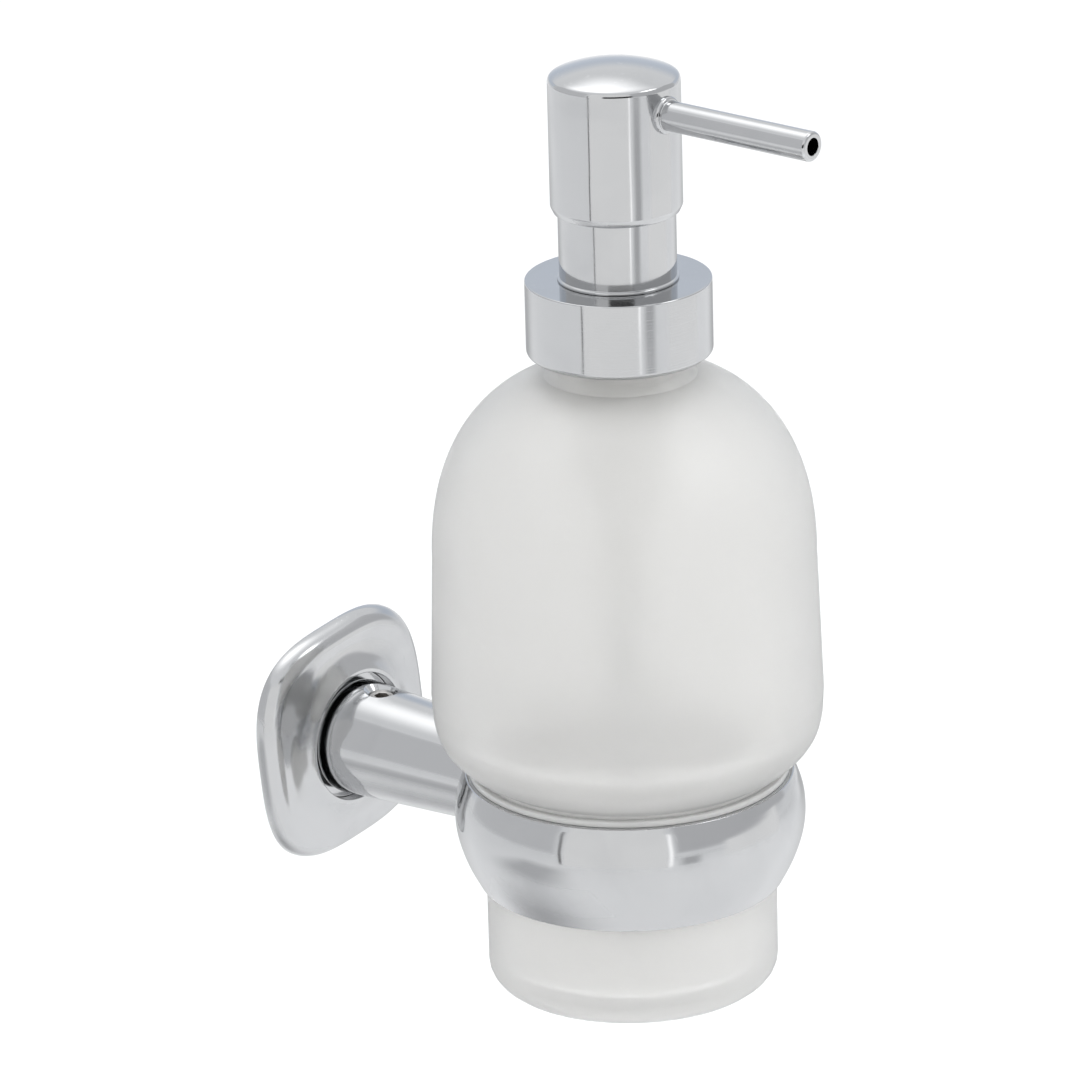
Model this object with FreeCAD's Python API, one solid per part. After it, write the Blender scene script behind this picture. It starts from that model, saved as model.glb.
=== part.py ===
import FreeCAD, Part
import math
import os

# Wall mounted soap dispenser, in millimetres.
# The origin lies on the wall, on the axis of the arm. The wall is the plane y = 0.
# The dispenser stands out towards -Y and +Z is up.

V = FreeCAD.Vector

# Axes
AXIS_REACH = 72.0          # wall to the upright axis of bottle and pump
UP = V(0, 0, 1)
OUT = V(0, -1, 0)
CENTRE = V(0, -AXIS_REACH, 0)
WALL = V(0, 0, 0)

# Wall holder
PLATE_W, PLATE_H, PLATE_T = 20.0, 38.0, 2.4
WALL_HOLE_R, WALL_HOLE_Z = 2.2, 15.0
POST_R, POST_END = 6.5, 23.0
GRUB_Y, GRUB_R = 11.6, 2.5
GROOVE_DEPTH, GROOVE_HALF = 1.0, 2.7
M5_R, M5_HEAD_R = 2.5, 4.6
M4_R, M4_HEAD_R = 2.0, 3.8
ROSETTE_HALF, ROSETTE_POWER, ROSETTE_WALL = 22.4, 3.1, 1.5
ROSETTE_TURN = math.radians(7)
ROSETTE_FACE, ROSETTE_EDGE, DISH_R = 3.9, 3.2, 19.2
RECESS_R, RECESS_FLOOR, LIP_HEIGHT = 12.4, 3.4, 5.9
POST_HOLE_R = 6.8
ARM_R0, ARM_R1, ARM_TIP = 11.0, 9.2, 46.0
ARM_EDGE, ARM_BORE_R, ARM_BORE_END = 2.0, 6.6, 25.0

# Ring and liner
RING_R, RING_TOP_R, RING_LOW_R = 32.4, 30.4, 28.3
RING_TOP, RING_LOW = 9.3, -11.6
LINER_R, LINER_BORE_R, LINER_FOOT = 28.7, 27.7, -8.0
LIP_R, LIP_T = 29.6, 1.2
RING_BORE_R = 27.6
SADDLE_GAP = 0.05

# Glass bottle
BASE_R, BASE_Z, BASE_CORNER = 26.9, -32.0, 4.5
SEAT_Z = RING_TOP + LIP_T
SEAT_R = 28.7
BODY_LOW_R, BODY_LOW_Z = 36.1, 25.0
BODY_TOP_R, BODY_TOP_Z = 35.2, 51.6
SHOULDER_RISE, SHOULDER_POWER_R, SHOULDER_POWER_Z = 36.3, 2.66, 2.23
GLASS_WALL, GLASS_FLOOR = 3.2, 4.6
NECK_R, NECK_BORE_R, NECK_TOP = 12.5, 10.3, 100.1
THREAD_R, THREAD_PITCH, THREAD_START, THREAD_TURNS = 13.7, 3.0, 92.2, 1.75

# Pump
GASKET_TOP = NECK_TOP + 1.0
FLANGE_TOP = GASKET_TOP + 1.2
FLANGE_R = 12.4
HOUSING_R, HOUSING_BORE_R = 9.0, 7.6
SHELF_Z = 67.0
VALVE_R, VALVE_SEAT, VALVE_LIP = 3.4, 57.0, 64.6
SOCKET_R, SOCKET_TOP, SOCKET_LOW = 3.0, 55.5, 46.0
TUBE_BORE_R, TUBE_END = 2.0, -24.0
INLET_BALL_R, OUTLET_BALL_R, BALL_GAP = 3.0, 2.0, 0.05
STEM_R, STEM_BORE_R, STEM_FOOT, STEM_TOP = 3.5, 1.5, 92.0, 133.5
STEM_CHAMBER_R, STEM_CHAMBER_TOP = 2.3, 97.5
PISTON_HOLE_R, PISTON_FOOT, PISTON_TOP = 1.2, 90.8, 98.9
SEAL_GAP, RUNNING_GAP = 0.05, 0.08
SPRING_R, SPRING_WIRE_R, SPRING_COILS = 4.6, 0.6, 7.0

# Guide, collar and head
CAP_R, CAP_FOOT, CAP_FLOOR, CAP_TOP = 9.9, 99.6, 106.0, 120.0
SLEEVE_FOOT, SLEEVE_TOP, SLEEVE_R, SLEEVE_BORE_R = 104.8, 121.0, 10.7, 9.6
COLLAR_R, COLLAR_LOW, COLLAR_TOP, COLLAR_SKIN, COLLAR_WALL = 17.0, 90.4, 104.5, 0.9, 1.5
COLLAR_HOLE_R, COLLAR_BORE_R = 10.3, 14.0
HEAD_R, HEAD_BORE_R, HEAD_LOW, HEAD_SHOULDER, HEAD_TOP = 12.0, 11.0, 117.4, 141.7, 145.1
CORE_LOW, CORE_TOP, BOSS_R, BOSS_LOW = 133.0, 141.2, 5.6, 123.5
SPOUT_Z, SPOUT_R, SPOUT_BORE_R, SPOUT_START, SPOUT_TIP = 137.2, 2.75, 1.6, 4.0, 45.0


def bottle_point(r, z):
    """A point at radius r and height z beside the upright axis."""
    return V(r, -AXIS_REACH, z)


def arm_point(r, reach):
    """A point at radius r from the arm axis, a distance out from the wall."""
    return V(r, -reach, 0)


def closed_face(place, steps):
    """A flat face from corner points, ("arc", mid, end) and ("curve", points) steps."""
    edges = []
    here = place(*steps[0])
    for step in list(steps[1:]) + [steps[0]]:
        if step[0] == "arc":
            middle, end = place(*step[1]), place(*step[2])
            edges.append(Part.Arc(here, middle, end).toShape())
        elif step[0] == "curve":
            points = [here] + [place(*p) for p in step[1]]
            end = points[-1]
            spline = Part.BSplineCurve()
            spline.interpolate(points)
            edges.append(spline.toShape())
        else:
            end = place(*step)
            if here.distanceToPoint(end) < 1e-6:
                continue
            edges.append(Part.makeLine(here, end))
        here = end
    return Part.Face(Part.Wire(edges))


def turned(steps):
    """A solid turned about the upright axis of bottle and pump."""
    return closed_face(bottle_point, steps).revolve(CENTRE, UP, 360)


def turned_on_arm(steps):
    """A solid turned about the arm axis, with distances measured out from the wall."""
    return closed_face(arm_point, steps).revolve(WALL, OUT, 360)


def rod(radius, low, high):
    """An upright cylinder on the axis of bottle and pump."""
    return Part.makeCylinder(radius, high - low, V(0, -AXIS_REACH, low), UP)


def tube(outer, inner, low, high):
    """An upright tube on the axis of bottle and pump."""
    return turned([(inner, low), (outer, low), (outer, high), (inner, high)])


def arm_rod(radius, near, far):
    """A cylinder on the arm axis between two distances from the wall."""
    return Part.makeCylinder(radius, far - near, V(0, -near, 0), OUT)


def hex_socket(across_flats, depth, mouth, direction):
    """A hexagonal hole that starts at mouth and runs along direction."""
    radius = across_flats / math.sqrt(3)
    side = V(1, 0, 0)
    other = direction.cross(side)
    angles = [math.radians(60 * i) for i in range(7)]
    corners = [mouth + side * (radius * math.cos(a)) + other * (radius * math.sin(a)) for a in angles]
    return Part.Face(Part.makePolygon(corners)).extrude(direction * depth)


def superellipse(half, power, y):
    """A rounded square outline around the arm axis, turned a little, at a given depth."""
    points = []
    for i in range(48):
        a = 2 * math.pi * i / 48
        c, s = math.cos(a), math.sin(a)
        size = half / (abs(c) ** power + abs(s) ** power) ** (1 / power)
        turned_to = a + ROSETTE_TURN
        points.append(V(size * math.cos(turned_to), y, size * math.sin(turned_to)))
    spline = Part.BSplineCurve()
    spline.interpolate(Points=points, PeriodicFlag=True)
    return Part.Wire(spline.toShape())


def block_of(wire, depth):
    """A solid pushed out from the wall by depth from a closed outline."""
    return Part.Face(wire).extrude(V(0, -depth, 0))


def helix_body(radius, pitch, height, foot, section):
    """A section swept along a helix around the upright axis."""
    path = Part.makeHelix(pitch, height, radius)
    path.translate(V(0, -AXIS_REACH, foot))
    return path.makePipeShell([section], True, True)


def circle_at(centre, normal, radius):
    """A closed circle wire."""
    return Part.Wire(Part.makeCircle(radius, centre, normal))


def plug_cone(wide, narrow, near, far):
    """A cone on the arm axis between two distances from the wall."""
    return Part.makeCone(wide, narrow, far - near, V(0, -near, 0), OUT)


# ---- Wall holder ----

def wall_bracket():
    plate = Part.makeBox(PLATE_W, PLATE_T, PLATE_H, V(-PLATE_W / 2, -PLATE_T, -PLATE_H / 2))
    corners = [e for e in plate.Edges if abs(e.tangentAt(e.FirstParameter).y) > 0.9]
    plate = plate.makeFillet(3.0, corners)
    for z in (-WALL_HOLE_Z, WALL_HOLE_Z):
        plate = plate.cut(Part.makeCylinder(WALL_HOLE_R, PLATE_T, V(0, 0, z), OUT))
    plate = plate.cut(arm_rod(M5_R, 0, PLATE_T))
    return plate.cut(plug_cone(M5_HEAD_R, M5_R, 0, M5_HEAD_R - M5_R))


def mounting_post():
    low, high = GRUB_Y - GROOVE_HALF, GRUB_Y + GROOVE_HALF
    post = turned_on_arm([
        (0, PLATE_T), (POST_R, PLATE_T), (POST_R, low), (POST_R - GROOVE_DEPTH, low + GROOVE_DEPTH),
        (POST_R - GROOVE_DEPTH, high - GROOVE_DEPTH), (POST_R, high),
        (POST_R, POST_END - 1), (POST_R - 1, POST_END), (0, POST_END)])
    return post.cut(arm_rod(M5_R, PLATE_T, 16))


def post_screw():
    head = M5_HEAD_R - M5_R
    screw = turned_on_arm([
        (0, 0), (M5_HEAD_R, 0), (M5_R, head), (M5_R, 13.5), (M5_R - 0.8, 14.3), (0, 14.3)])
    return screw.cut(hex_socket(3.0, 1.8, WALL, OUT))


def rosette():
    roll = 0.75
    cushion = block_of(superellipse(ROSETTE_HALF, ROSETTE_POWER, 0), ROSETTE_FACE)
    rim = [e for e in cushion.Edges if e.BoundBox.YMax < -ROSETTE_FACE + 0.01]
    cushion = cushion.makeFillet(ROSETTE_EDGE, rim)
    mound = turned_on_arm([
        (0, PLATE_T), (DISH_R, PLATE_T), (DISH_R, ROSETTE_FACE),
        ("curve", [(DISH_R - 1.6, ROSETTE_FACE + 0.07), (DISH_R - 3.2, ROSETTE_FACE + 0.4),
                   (RECESS_R + 2 * roll, LIP_HEIGHT - roll)]),
        ("arc", (RECESS_R + roll, LIP_HEIGHT), (RECESS_R, LIP_HEIGHT - roll)), (0, LIP_HEIGHT - roll)])
    body = cushion.fuse(mound).cut(arm_rod(RECESS_R, RECESS_FLOOR, LIP_HEIGHT + 1))
    hollow = block_of(superellipse(ROSETTE_HALF - ROSETTE_WALL, ROSETTE_POWER, 0), PLATE_T)
    return body.cut(hollow).cut(arm_rod(POST_HOLE_R, 0, RECESS_FLOOR + 1))


def ring_outer(gap):
    """The barrel shape of the ring, grown by a small gap."""
    return turned([
        (0, RING_LOW - gap), (RING_LOW_R + gap, RING_LOW - gap),
        ("arc", (RING_R + gap, 0), (RING_TOP_R + gap, RING_TOP + gap)), (0, RING_TOP + gap)])


def arm():
    slope = (ARM_R0 - ARM_R1) / (AXIS_REACH - RING_R - RECESS_FLOOR)
    tip_r = ARM_R1 - slope * (ARM_TIP - AXIS_REACH + RING_R)
    bend = ARM_EDGE * (1 - math.sqrt(0.5))
    cone = turned_on_arm([
        (ARM_BORE_R, RECESS_FLOOR), (ARM_R0 - ARM_EDGE, RECESS_FLOOR),
        ("arc", (ARM_R0 - bend, RECESS_FLOOR + bend), (ARM_R0, RECESS_FLOOR + ARM_EDGE)),
        (tip_r, ARM_TIP), (0, ARM_TIP), (0, ARM_BORE_END), (ARM_BORE_R, ARM_BORE_END)])
    cone = cone.cut(ring_outer(SADDLE_GAP))
    cone = cone.cut(Part.makeCylinder(GRUB_R, ARM_R0, V(0, -GRUB_Y, 0), UP))
    cone = cone.cut(Part.makeCone(GRUB_R, GRUB_R + 1.2, 1.2, V(0, -GRUB_Y, ARM_R0 - 1.2), UP))
    return cone.cut(arm_rod(M4_R, ARM_BORE_END + 3, ARM_TIP))


def grub_screw():
    foot = POST_R - GROOVE_DEPTH
    face = [V(0, -GRUB_Y, foot), V(1.2, -GRUB_Y, foot), V(GRUB_R, -GRUB_Y, foot + 1.3),
            V(GRUB_R, -GRUB_Y, 9.3), V(GRUB_R - 0.3, -GRUB_Y, 9.6), V(0, -GRUB_Y, 9.6)]
    screw = Part.Face(Part.makePolygon(face + face[:1])).revolve(V(0, -GRUB_Y, 0), UP, 360)
    return screw.cut(hex_socket(2.5, 2.2, V(0, -GRUB_Y, 9.6), V(0, 0, -1)))


def arm_screw_face():
    """Distance from the wall to the face of the screw inside the ring."""
    return AXIS_REACH - LINER_R - 0.1


def ring_holder():
    ring = turned([
        (RING_BORE_R, RING_LOW), (RING_LOW_R, RING_LOW),
        ("arc", (RING_R, 0), (RING_TOP_R, RING_TOP)),
        (LINER_R, RING_TOP), (LINER_R, LINER_FOOT), (RING_BORE_R, LINER_FOOT)])
    face = arm_screw_face()
    ring = ring.cut(arm_rod(M4_R, AXIS_REACH - RING_R - 1, face))
    ring = ring.cut(plug_cone(M4_R, M4_HEAD_R, face - (M4_HEAD_R - M4_R), face))
    ring = ring.cut(arm_rod(M4_HEAD_R, face, face + 2))
    top = [e for e in ring.Edges if e.BoundBox.ZLength < 0.01 and abs(e.BoundBox.ZMax - RING_TOP) < 0.01
           and e.BoundBox.XMax > RING_TOP_R - 0.1]
    return ring.makeFillet(0.5, top)


def arm_screw():
    face = arm_screw_face()
    head = M4_HEAD_R - M4_R
    screw = turned_on_arm([
        (0, face), (M4_HEAD_R, face), (M4_R, face - head), (M4_R, 30.6), (M4_R - 0.6, 30), (0, 30)])
    return screw.cut(hex_socket(2.5, 1.5, V(0, -face, 0), V(0, 1, 0)))


def ring_liner():
    liner = turned([
        (LINER_BORE_R, LINER_FOOT), (LINER_R, LINER_FOOT), (LINER_R, RING_TOP),
        (LIP_R, RING_TOP), (LIP_R, SEAT_Z), (LINER_BORE_R, SEAT_Z)])
    outer = [e for e in liner.Edges if e.BoundBox.ZLength < 0.01 and e.BoundBox.ZMin > SEAT_Z - 0.01
             and e.BoundBox.XMax > LIP_R - 0.1]
    return liner.makeFillet(0.4, outer)


# ---- Bottle ----

def shoulder_curve(shrink):
    """Points of the domed shoulder, drawn in by the wall thickness."""
    radius, rise = BODY_TOP_R - shrink, SHOULDER_RISE - shrink
    points = []
    for i in range(1, 15):
        t = math.radians(5.2 * i)
        r = radius * math.cos(t) ** (2 / SHOULDER_POWER_R)
        points.append((r, BODY_TOP_Z + rise * math.sin(t) ** (2 / SHOULDER_POWER_Z)))
    return points


def neck_thread():
    """The raised screw thread on the neck."""
    root, crest = NECK_R - 0.3, THREAD_R
    corners = [bottle_point(root, THREAD_START - 1.1), bottle_point(crest, THREAD_START - 0.35),
               bottle_point(crest, THREAD_START + 0.35), bottle_point(root, THREAD_START + 1.1)]
    section = Part.makePolygon(corners + corners[:1])
    return helix_body(root, THREAD_PITCH, THREAD_PITCH * THREAD_TURNS, THREAD_START, section)


def glass_bottle():
    corner = BASE_CORNER * (1 - math.sqrt(0.5))
    outer = turned([
        (0, BASE_Z + 0.8), (12, BASE_Z + 0.6), (17, BASE_Z), (BASE_R - BASE_CORNER, BASE_Z),
        ("arc", (BASE_R - corner, BASE_Z + corner), (BASE_R, BASE_Z + BASE_CORNER)),
        (BASE_R, SEAT_Z), (SEAT_R, SEAT_Z), (SEAT_R, SEAT_Z + 0.7), (SEAT_R + 0.5, SEAT_Z + 1.0),
        ("curve", [(32.0, 13.4), (34.5, 16.4), (35.7, 20.0), (BODY_LOW_R, BODY_LOW_Z)]),
        (BODY_TOP_R, BODY_TOP_Z),
        ("curve", shoulder_curve(0)),
        ("curve", [(NECK_R + 0.5, 87.7), (NECK_R, 88.6)]),
        (NECK_R, NECK_TOP - 0.5), (NECK_R - 0.5, NECK_TOP), (0, NECK_TOP)])
    inner = turned([
        (0, BASE_Z + GLASS_FLOOR + 1.2), (10, BASE_Z + GLASS_FLOOR + 0.8),
        (BASE_R - GLASS_WALL - 3, BASE_Z + GLASS_FLOOR),
        ("arc", (BASE_R - GLASS_WALL - 0.88, BASE_Z + GLASS_FLOOR + 0.88),
         (BASE_R - GLASS_WALL, BASE_Z + GLASS_FLOOR + 3)),
        (BASE_R - GLASS_WALL, SEAT_Z + 1.0),
        ("curve", [(27.4, 15.2), (31.0, 19.0), (32.6, 23.0), (BODY_LOW_R - GLASS_WALL, BODY_LOW_Z + 3)]),
        (BODY_TOP_R - GLASS_WALL, BODY_TOP_Z),
        ("curve", shoulder_curve(GLASS_WALL)),
        ("curve", [(NECK_BORE_R + 0.4, 84.6), (NECK_BORE_R, 86.0)]),
        (NECK_BORE_R, NECK_TOP + 1), (0, NECK_TOP + 1)])
    return outer.fuse(neck_thread()).cut(inner)


# ---- Pump ----

def neck_gasket():
    return tube(FLANGE_R, NECK_BORE_R, NECK_TOP, GASKET_TOP)


def pump_housing():
    return turned([
        (TUBE_BORE_R, SOCKET_TOP), (SOCKET_R, SOCKET_TOP), (SOCKET_R, SOCKET_LOW),
        (SOCKET_R + 1.5, SOCKET_LOW), (SOCKET_R + 2.0, SOCKET_TOP + 6), (HOUSING_R, SHELF_Z - 1),
        (HOUSING_R, GASKET_TOP), (FLANGE_R, GASKET_TOP), (FLANGE_R, FLANGE_TOP),
        (HOUSING_BORE_R, FLANGE_TOP), (HOUSING_BORE_R, SHELF_Z), (VALVE_R - 0.8, SHELF_Z),
        (VALVE_R - 0.8, VALVE_LIP), (VALVE_R, VALVE_LIP), (VALVE_R, VALVE_SEAT),
        (TUBE_BORE_R, VALVE_SEAT)])


def dip_tube():
    whole = tube(SOCKET_R, TUBE_BORE_R, TUBE_END, SOCKET_TOP)
    slant = Part.makeBox(10, 20, 10, V(0, -AXIS_REACH - 10, TUBE_END))
    slant.rotate(V(0, -AXIS_REACH, TUBE_END), V(0, 1, 0), 40)
    return whole.cut(slant)


def ball(radius, hole, seat):
    """A valve ball that rests just above the edge of its hole."""
    height = math.sqrt(radius ** 2 - hole ** 2) + BALL_GAP
    return Part.makeSphere(radius, V(0, -AXIS_REACH, seat + height))


def return_spring():
    foot = SHELF_Z + SPRING_WIRE_R
    height = PISTON_FOOT - SHELF_Z - 2 * SPRING_WIRE_R
    section = circle_at(bottle_point(SPRING_R, foot), V(0, 1, 0), SPRING_WIRE_R)
    return helix_body(SPRING_R, height / SPRING_COILS, height, foot, section)


def piston():
    lip, waist = HOUSING_BORE_R - SEAL_GAP, HOUSING_BORE_R - 0.6
    hub, skirt = STEM_R + 1.5, HOUSING_BORE_R - 1.4
    return turned([
        (PISTON_HOLE_R, PISTON_FOOT), (hub + 0.6, PISTON_FOOT), (hub + 0.6, STEM_FOOT), (hub, STEM_FOOT),
        (hub, 95), (skirt, 95), (skirt, 92.8), (lip, 92.8), (lip, 93.8), (waist, 94.4), (waist, 97.3),
        (lip, 97.9), (lip, PISTON_TOP), (skirt, PISTON_TOP), (skirt, 96.6), (hub, 96.6),
        (hub, PISTON_TOP), (STEM_R, PISTON_TOP), (STEM_R, STEM_FOOT), (PISTON_HOLE_R, STEM_FOOT)])


def pump_stem():
    return turned([
        (STEM_CHAMBER_R, STEM_FOOT), (STEM_R, STEM_FOOT), (STEM_R, STEM_TOP), (STEM_BORE_R, STEM_TOP),
        (STEM_BORE_R, STEM_CHAMBER_TOP), (STEM_CHAMBER_R, STEM_CHAMBER_TOP)])


def housing_cap():
    guide = STEM_R + RUNNING_GAP
    bore = SLEEVE_BORE_R - 1.4
    return turned([
        (guide, CAP_FOOT), (HOUSING_BORE_R, CAP_FOOT), (HOUSING_BORE_R, FLANGE_TOP), (CAP_R, FLANGE_TOP),
        (CAP_R, SLEEVE_FOOT), (SLEEVE_BORE_R, SLEEVE_FOOT),
        (SLEEVE_BORE_R, CAP_TOP), (bore, CAP_TOP), (bore, CAP_FLOOR), (guide, CAP_FLOOR)])


def guide_sleeve():
    bore = SLEEVE_BORE_R - 1.4
    return turned([
        (SLEEVE_BORE_R, SLEEVE_FOOT), (SLEEVE_R - 0.4, SLEEVE_FOOT),
        ("arc", (SLEEVE_R - 0.12, SLEEVE_FOOT + 0.12), (SLEEVE_R, SLEEVE_FOOT + 0.4)),
        (SLEEVE_R, SLEEVE_TOP - 0.6), ("arc", (SLEEVE_R - 0.18, SLEEVE_TOP - 0.18),
                                       (SLEEVE_R - 0.6, SLEEVE_TOP)),
        (bore, SLEEVE_TOP), (bore, CAP_TOP), (SLEEVE_BORE_R, CAP_TOP)])


# ---- Collar ----

def collar_shell():
    inner_r, inner_top = COLLAR_R - COLLAR_WALL, COLLAR_TOP - COLLAR_SKIN
    top, low = 0.3, 1.3
    return turned([
        (inner_r, COLLAR_LOW), (COLLAR_R - low, COLLAR_LOW),
        ("arc", (COLLAR_R - 0.293 * low, COLLAR_LOW + 0.293 * low), (COLLAR_R, COLLAR_LOW + low)),
        (COLLAR_R, COLLAR_TOP - top),
        ("arc", (COLLAR_R - 0.293 * top, COLLAR_TOP - 0.293 * top), (COLLAR_R - top, COLLAR_TOP)),
        (COLLAR_HOLE_R, COLLAR_TOP), (COLLAR_HOLE_R, inner_top), (inner_r, inner_top)])


def collar_insert():
    outer, top = COLLAR_R - COLLAR_WALL, COLLAR_TOP - COLLAR_SKIN
    return turned([
        (COLLAR_BORE_R, COLLAR_LOW + 0.6), (outer, COLLAR_LOW + 0.6), (outer, top),
        (COLLAR_HOLE_R, top), (COLLAR_HOLE_R, FLANGE_TOP), (COLLAR_BORE_R, FLANGE_TOP)])


# ---- Head ----

def spout_axis_rod(radius, near, far):
    """A level cylinder on the spout axis, between two distances from the upright axis."""
    return Part.makeCylinder(radius, far - near, V(0, -AXIS_REACH - near, SPOUT_Z), OUT)


def dome_middle(radius, low, top):
    """The point halfway in along a spherical dome that spans from radius to the axis."""
    sphere = (radius ** 2 + (top - low) ** 2) / (2 * (top - low))
    return radius / 2, top - sphere + math.sqrt(sphere ** 2 - (radius / 2) ** 2)


def head_shell():
    edge, corner, skin = 1.2, 1.0, 1.0
    rim = HEAD_SHOULDER + 1.3
    shell = turned([
        (HEAD_BORE_R, HEAD_LOW), (HEAD_R - 0.7, HEAD_LOW),
        ("arc", (HEAD_R - 0.2, HEAD_LOW + 0.45), (HEAD_R, HEAD_LOW + edge)),
        (HEAD_R, HEAD_SHOULDER),
        ("arc", (HEAD_R - 0.3, rim - 0.42), (HEAD_R - corner, rim)),
        ("arc", dome_middle(HEAD_R - corner, rim, HEAD_TOP), (0, HEAD_TOP)),
        (0, HEAD_TOP - skin),
        ("arc", dome_middle(HEAD_BORE_R - corner, rim - skin, HEAD_TOP - skin),
         (HEAD_BORE_R - corner, rim - skin)),
        (HEAD_BORE_R, CORE_TOP)])
    return shell.cut(spout_axis_rod(SPOUT_R, HEAD_BORE_R - 2, HEAD_R + 2))


def head_insert():
    core = turned([
        (STEM_R + SEAL_GAP, BOSS_LOW), (BOSS_R, BOSS_LOW), (BOSS_R, CORE_LOW), (HEAD_BORE_R, CORE_LOW),
        (HEAD_BORE_R, CORE_TOP), (0, CORE_TOP), (0, SPOUT_Z), (SPOUT_BORE_R, SPOUT_Z),
        (SPOUT_BORE_R, STEM_TOP), (STEM_R + SEAL_GAP, STEM_TOP)])
    core = core.cut(spout_axis_rod(SPOUT_R, SPOUT_START, HEAD_R))
    return core.cut(spout_axis_rod(SPOUT_BORE_R, 0, SPOUT_START))


def spout():
    pipe = spout_axis_rod(SPOUT_R, SPOUT_START, SPOUT_TIP)
    tip = [e for e in pipe.Edges if e.BoundBox.YMax < -AXIS_REACH - SPOUT_TIP + 0.01]
    pipe = pipe.makeFillet(0.6, tip)
    foot = spout_axis_rod(SPOUT_R + 0.7, HEAD_R - 1, HEAD_R + 0.7)
    foot = foot.cut(rod(HEAD_R, SPOUT_Z - 5, SPOUT_Z + 5))
    pipe = pipe.fuse(foot)
    return pipe.cut(spout_axis_rod(SPOUT_BORE_R, SPOUT_START, SPOUT_TIP))


PARTS = {
    "wall_bracket": wall_bracket, "mounting_post": mounting_post, "post_screw": post_screw,
    "rosette": rosette, "arm": arm, "grub_screw": grub_screw, "ring_holder": ring_holder,
    "arm_screw": arm_screw, "ring_liner": ring_liner, "glass_bottle": glass_bottle,
    "neck_gasket": neck_gasket, "pump_housing": pump_housing, "dip_tube": dip_tube,
    "inlet_ball": lambda: ball(INLET_BALL_R, TUBE_BORE_R, VALVE_SEAT),
    "return_spring": return_spring, "piston": piston, "pump_stem": pump_stem,
    "outlet_ball": lambda: ball(OUTLET_BALL_R, PISTON_HOLE_R, STEM_FOOT),
    "housing_cap": housing_cap, "guide_sleeve": guide_sleeve, "collar_shell": collar_shell,
    "collar_insert": collar_insert, "head_shell": head_shell, "head_insert": head_insert,
    "spout": spout,
}

os.makedirs("parts", exist_ok=True)
for node, make in PARTS.items():
    shape = make()
    print(node, "solids", len(shape.Solids), "valid", shape.isValid(), "volume", round(shape.Volume, 2))
    shape.exportStep("parts/" + node + ".step")
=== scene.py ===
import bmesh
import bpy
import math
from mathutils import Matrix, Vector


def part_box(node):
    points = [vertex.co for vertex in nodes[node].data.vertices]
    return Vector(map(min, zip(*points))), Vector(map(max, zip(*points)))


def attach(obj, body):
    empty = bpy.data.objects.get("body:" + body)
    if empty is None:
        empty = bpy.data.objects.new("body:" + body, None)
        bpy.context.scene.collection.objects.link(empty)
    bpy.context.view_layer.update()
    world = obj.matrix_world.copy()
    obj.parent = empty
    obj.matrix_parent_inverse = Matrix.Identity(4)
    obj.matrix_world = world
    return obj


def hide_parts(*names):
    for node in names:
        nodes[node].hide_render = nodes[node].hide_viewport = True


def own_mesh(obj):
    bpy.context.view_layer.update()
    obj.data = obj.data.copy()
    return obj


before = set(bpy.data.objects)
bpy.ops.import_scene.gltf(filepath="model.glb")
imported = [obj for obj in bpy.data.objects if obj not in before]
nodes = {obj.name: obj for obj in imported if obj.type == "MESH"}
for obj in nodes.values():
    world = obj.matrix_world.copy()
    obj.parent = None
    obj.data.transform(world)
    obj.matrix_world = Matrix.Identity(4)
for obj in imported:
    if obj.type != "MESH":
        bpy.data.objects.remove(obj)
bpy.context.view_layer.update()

# %% [markdown]
# # A wall mounted soap dispenser
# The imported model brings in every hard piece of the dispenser, each at its real size.
# This lesson gives those pieces their look. The pieces that people see and touch are built
# again as clean turned meshes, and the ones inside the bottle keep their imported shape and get
# a proper material. Lengths in the lists below are millimetres, because that is how a maker
# reads a drawing, and MM turns them into Blender's metres.

MM = 0.001
scene = bpy.context.scene


def box_mm(node):
    """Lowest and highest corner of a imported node, in millimetres."""
    low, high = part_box(node)
    return [v / MM for v in low], [v / MM for v in high]


low, high = box_mm("collar_shell")
AXIS_Y = (low[1] + high[1]) / 2
COLLAR_R = (high[0] - low[0]) / 2
COLLAR_LOW, COLLAR_TOP = low[2], high[2]
print("upright axis at y", round(AXIS_Y, 3), "collar radius", round(COLLAR_R, 3))

# %% [markdown]
# ## Turned pieces
# A lathe makes most of this object: the bottle is blown in a round mould, and the ring, collar,
# sleeve and head are turned from brass before they are plated. So one helper does the same
# job. It takes the outline of one half, rounds the corners that ask for it, and carries it
# around an axis. Rows of four-sided faces come out, which reflect light evenly.
# A Screw modifier could do this too, but plain mesh code also allows an outline that isn't
# round, such as the wall rosette, and a thread on the neck.


# %% Outline helpers
def rounded(corners, steps=6):
    """A closed outline. A corner given as (r, h, fillet) becomes an arc of that radius."""
    points = []
    count = len(corners)
    for i, corner in enumerate(corners):
        here = Vector(corner[:2])
        if len(corner) < 3:
            points.append(here)
            continue
        before = (Vector(corners[i - 1][:2]) - here).normalized()
        after = (Vector(corners[(i + 1) % count][:2]) - here).normalized()
        half = before.angle(after) / 2
        reach = corner[2] / math.tan(half)
        centre = here + (before + after).normalized() * (corner[2] / math.sin(half))
        first, last = here + before * reach - centre, here + after * reach - centre
        turn = first.angle_signed(last)
        for s in range(steps + 1):
            a = -turn * s / steps
            c, sn = math.cos(a), math.sin(a)
            points.append(centre + Vector((first.x * c - first.y * sn, first.x * sn + first.y * c)))
    return points


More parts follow.
